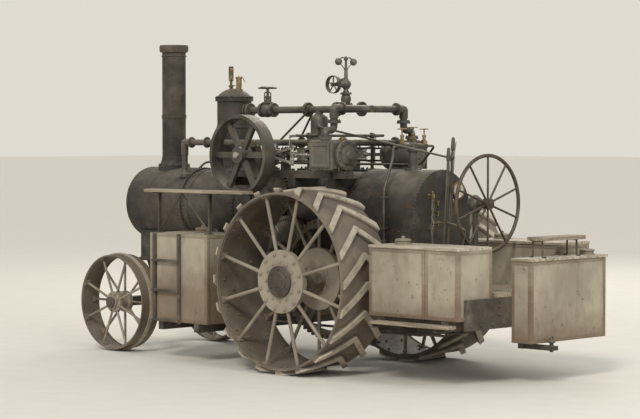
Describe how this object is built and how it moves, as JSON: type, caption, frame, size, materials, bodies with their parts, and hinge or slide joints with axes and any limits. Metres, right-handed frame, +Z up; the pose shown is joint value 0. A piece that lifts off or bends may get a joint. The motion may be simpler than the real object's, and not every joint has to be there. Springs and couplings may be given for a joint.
{
  "type": "steam traction engine",
  "caption": "Twin-cylinder steam traction engine with straight boiler, wide chevron-lugged drive wheels, side water tanks, rear platform, open gearing and chain steering",
  "frame": {"origin": "on the ground, under the middle of the engine's bounding box", "axes": "+X forwards, towards the smokestack; +Y to the engine's left; +Z up"},
  "size_m": [7.25, 3, 4.08],
  "materials": {
    "boiler_iron": "weathered black",
    "smoke_iron": "heat-dulled black",
    "engine_iron": "oily dark grey",
    "bright_steel": "worn bright",
    "wheel_iron": "dusty",
    "gear_iron": "greasy, dusty",
    "frame_iron": "weathered",
    "tank_plate": "weathered, dusty",
    "board_wood": "grey weathered",
    "wheel_rim_wood": "worn dark",
    "brass": "tarnished"
  },
  "bodies": {
    "engine": {"boiler_barrel": "boiler_iron", "smokebox": "smoke_iron", "smokestack": "smoke_iron", "firebox": "boiler_iron", "ash_pan": "frame_iron", "steam_dome": "boiler_iron", "steam_pipe": "engine_iron", "governor": "engine_iron", "boiler_saddles": "boiler_iron", "engine_bed_left": "engine_iron", "engine_bed_right": "engine_iron", "cylinder_left": "engine_iron", "cylinder_right": "engine_iron", "motion_left": "bright_steel", "motion_right": "bright_steel", "crankshaft": "bright_steel", "gear_train": "gear_iron", "drive_axle": "frame_iron", "front_pedestal": "boiler_iron", "steering_gear": "frame_iron", "steering_chains": "frame_iron", "steering_column": "frame_iron", "platform_frame": "frame_iron", "deck": "board_wood", "side_tank_left": "tank_plate", "side_tank_right": "tank_plate", "tool_box": "tank_plate", "rear_tank": "tank_plate", "plank_seat": "board_wood", "tank_bearers": "frame_iron", "front_tank_left": "tank_plate", "front_tank_right": "tank_plate", "ladder": "frame_iron", "running_board_left": "board_wood", "running_board_right": "board_wood", "levers": "frame_iron", "backhead_fittings": "brass", "exhaust_pipes": "engine_iron"},
    "drive_wheel_left": {"drive_wheel_left": "wheel_iron", "bull_gear_left": "gear_iron"},
    "drive_wheel_right": {"drive_wheel_right": "wheel_iron", "bull_gear_right": "gear_iron"},
    "bull_pinion_left": {"bull_pinion_left": "gear_iron"},
    "bull_pinion_right": {"bull_pinion_right": "gear_iron"},
    "front_axle": {"front_axle": "frame_iron"},
    "front_wheel_left": {"front_wheel_left": "wheel_iron"},
    "front_wheel_right": {"front_wheel_right": "wheel_iron"},
    "flywheel": {"flywheel": "engine_iron"},
    "steering_wheel": {"steering_wheel": "wheel_rim_wood"},
    "smokebox_door": {"smokebox_door": "smoke_iron"},
    "fire_door": {"fire_door": "engine_iron"},
    "tool_box_lid": {"tool_box_lid": "board_wood"}
  },
  "joints": [
    {"name": "drive_left", "type": "hinge", "parent": "engine", "child": "drive_wheel_left", "pos_m": [-0.625, 1.1, 1.12], "axis": [0, 1, 0], "continuous": true},
    {"name": "drive_right", "type": "hinge", "parent": "engine", "child": "drive_wheel_right", "pos_m": [-0.625, -1.1, 1.12], "axis": [0, 1, 0], "continuous": true},
    {"name": "pinion_left", "type": "hinge", "parent": "engine", "child": "bull_pinion_left", "pos_m": [0.20204, 0.5, 1.37], "axis": [0, 1, 0], "continuous": true},
    {"name": "pinion_right", "type": "hinge", "parent": "engine", "child": "bull_pinion_right", "pos_m": [0.20204, -0.5, 1.37], "axis": [0, 1, 0], "continuous": true},
    {"name": "front_steer", "type": "hinge", "parent": "engine", "child": "front_axle", "pos_m": [2.975, 0, 0.65], "axis": [0, 0, 1], "range_deg": [-22, 22]},
    {"name": "front_left", "type": "hinge", "parent": "front_axle", "child": "front_wheel_left", "pos_m": [2.975, 0.9, 0.65], "axis": [0, 1, 0], "continuous": true},
    {"name": "front_right", "type": "hinge", "parent": "front_axle", "child": "front_wheel_right", "pos_m": [2.975, -0.9, 0.65], "axis": [0, 1, 0], "continuous": true},
    {"name": "steering_wheel", "type": "hinge", "parent": "engine", "child": "steering_wheel", "pos_m": [-2.625, 0, 2.06], "axis": [1, 0, 0], "range_deg": [-660, 660]},
    {"name": "flywheel", "type": "hinge", "parent": "engine", "child": "flywheel", "pos_m": [0.485, 1.02, 2.62], "axis": [0, 1, 0], "continuous": true},
    {"name": "smokebox_door", "type": "hinge", "parent": "engine", "child": "smokebox_door", "pos_m": [3.359, 0.4, 1.95], "axis": [0, 0, 1], "range_deg": [0, 100]},
    {"name": "fire_door", "type": "hinge", "parent": "engine", "child": "fire_door", "pos_m": [-1.95, 0.22, 1.33], "axis": [0, 0, 1], "range_deg": [-100, 0]},
    {"name": "tool_box_lid", "type": "hinge", "parent": "engine", "child": "tool_box_lid", "pos_m": [-2.995, 0.592, 1.586], "axis": [1, 0, 0], "range_deg": [0, 100]}
  ],
  "couplings": [
    {"joint": "pinion_left", "follows": "drive_left", "ratio": -5},
    {"joint": "pinion_right", "follows": "drive_right", "ratio": -5},
    {"joint": "steering_wheel", "follows": "front_steer", "ratio": -30}
  ]
}
